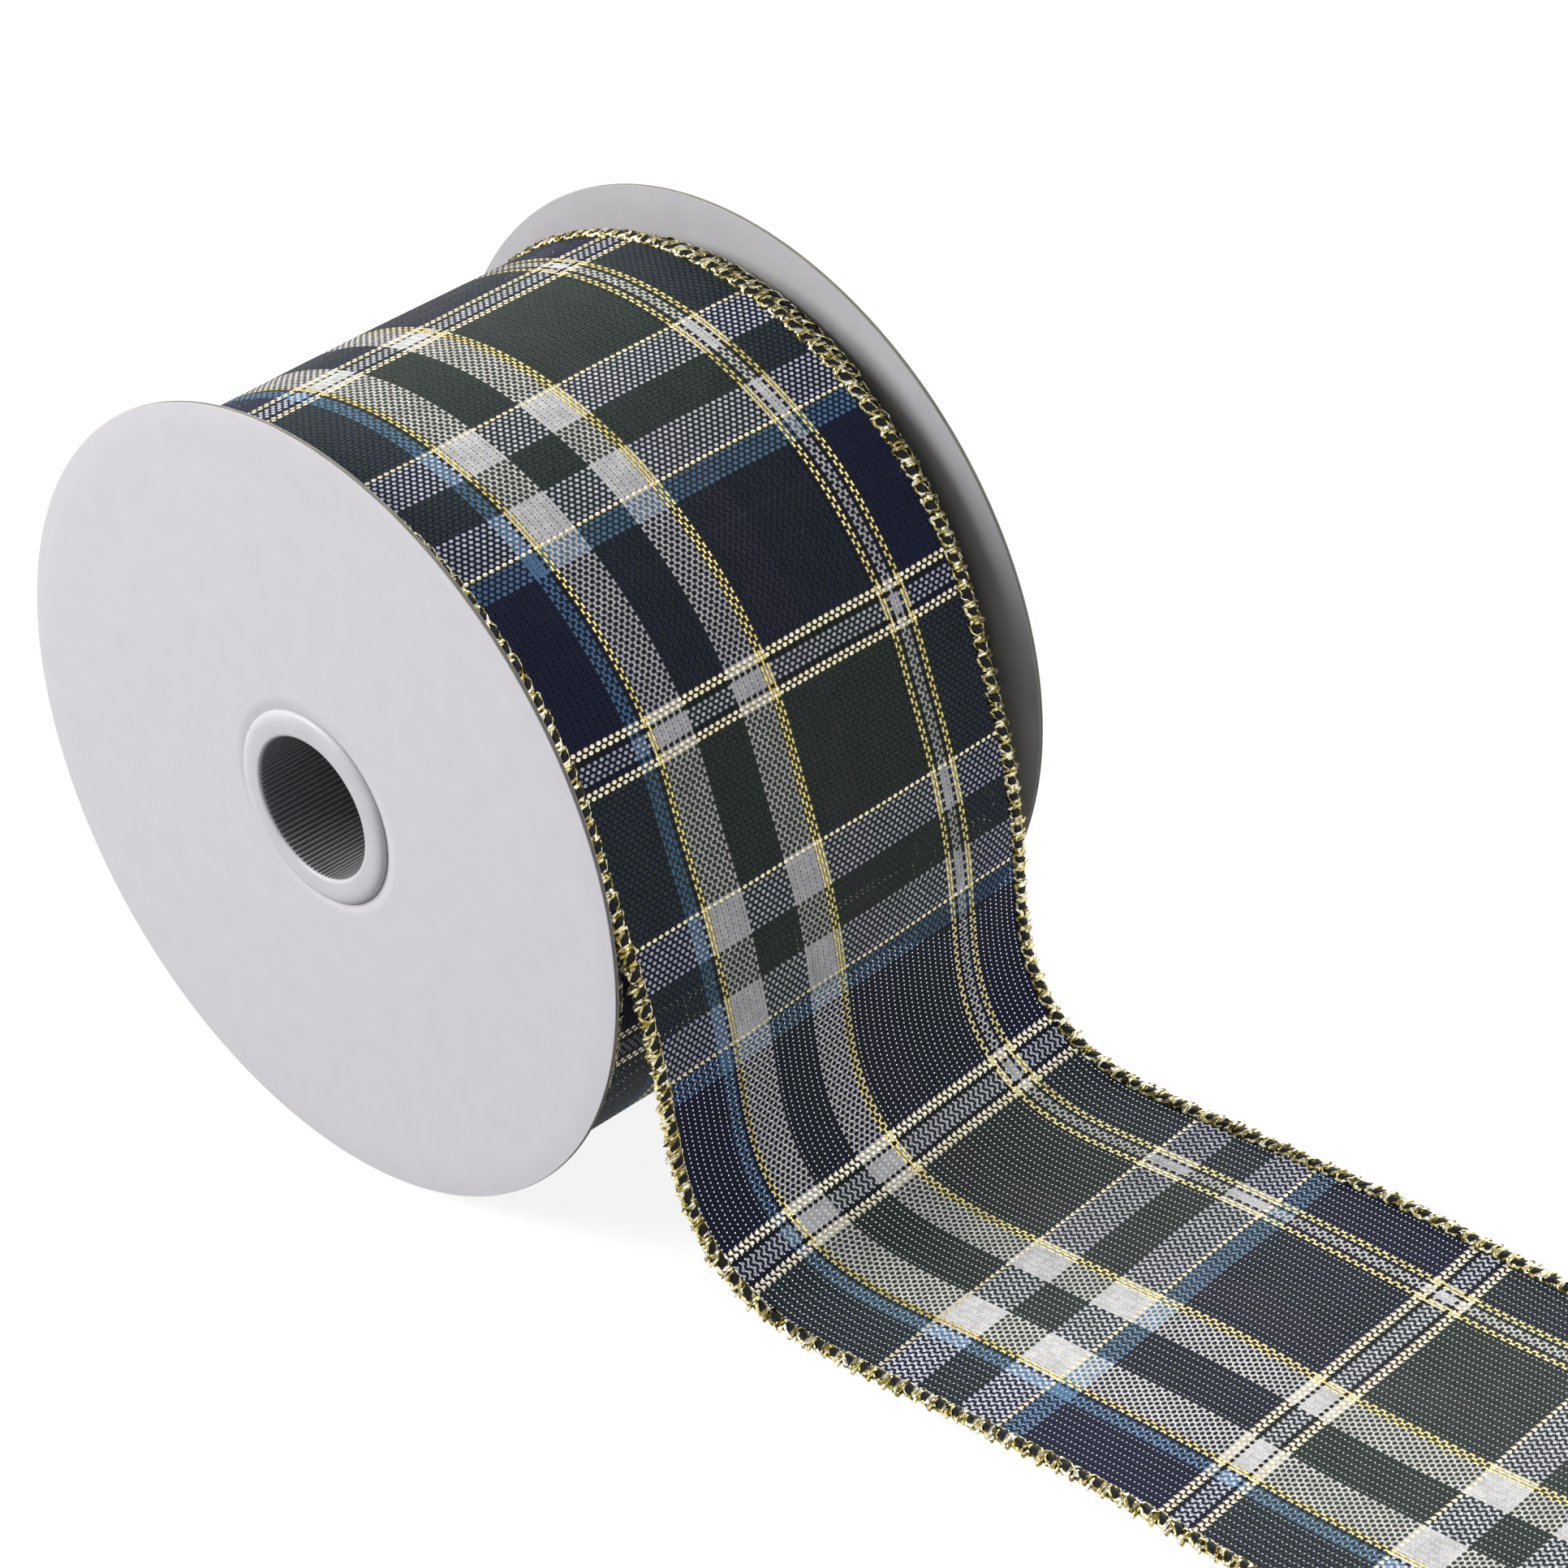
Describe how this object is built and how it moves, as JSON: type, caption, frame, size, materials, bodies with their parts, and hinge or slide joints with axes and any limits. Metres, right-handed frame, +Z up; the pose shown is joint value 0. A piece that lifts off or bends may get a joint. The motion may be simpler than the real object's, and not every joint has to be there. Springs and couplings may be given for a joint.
{
  "type": "ribbon spool",
  "caption": "Wire-edged woven ribbon wound on a paperboard spool with a plastic hub, its loose end drawn off and resting on the table",
  "frame": {"origin": "centre of the through bore, midway between the two hub lips", "axes": "+Y along the bore towards the far flange, +Z up, +X the way the loose end is drawn off"},
  "size_m": [0.2144, 0.076, 0.102],
  "materials": {
    "white_paper": "matt coated",
    "grey_board": "cut edge",
    "core_board": "spiral wound",
    "clear_tape": "glossy",
    "natural_plastic": "satin moulded",
    "tartan_ribbon": "woven tartan",
    "gold_edging": "overlocked metallic thread",
    "edge_wire": "drawn"
  },
  "bodies": {
    "ribbon_lead": {"lead_ribbon": "tartan_ribbon", "lead_near_edging": "gold_edging", "lead_far_edging": "gold_edging", "lead_near_wire": "edge_wire", "lead_far_wire": "edge_wire"},
    "spool": {"near_flange_board": "grey_board", "near_flange_outer_paper": "white_paper", "near_flange_inner_paper": "white_paper", "far_flange_board": "grey_board", "far_flange_outer_paper": "white_paper", "far_flange_inner_paper": "white_paper", "near_hub": "natural_plastic", "far_hub": "natural_plastic", "core_tube": "core_board", "start_tape": "clear_tape", "wound_ribbon": "tartan_ribbon", "wound_near_edging": "gold_edging", "wound_far_edging": "gold_edging"}
  },
  "joints": [
    {"name": "spool_turn", "type": "hinge", "parent": "ribbon_lead", "child": "spool", "pos_m": [0, 0, 0], "axis": [0, 1, 0], "continuous": true}
  ]
}
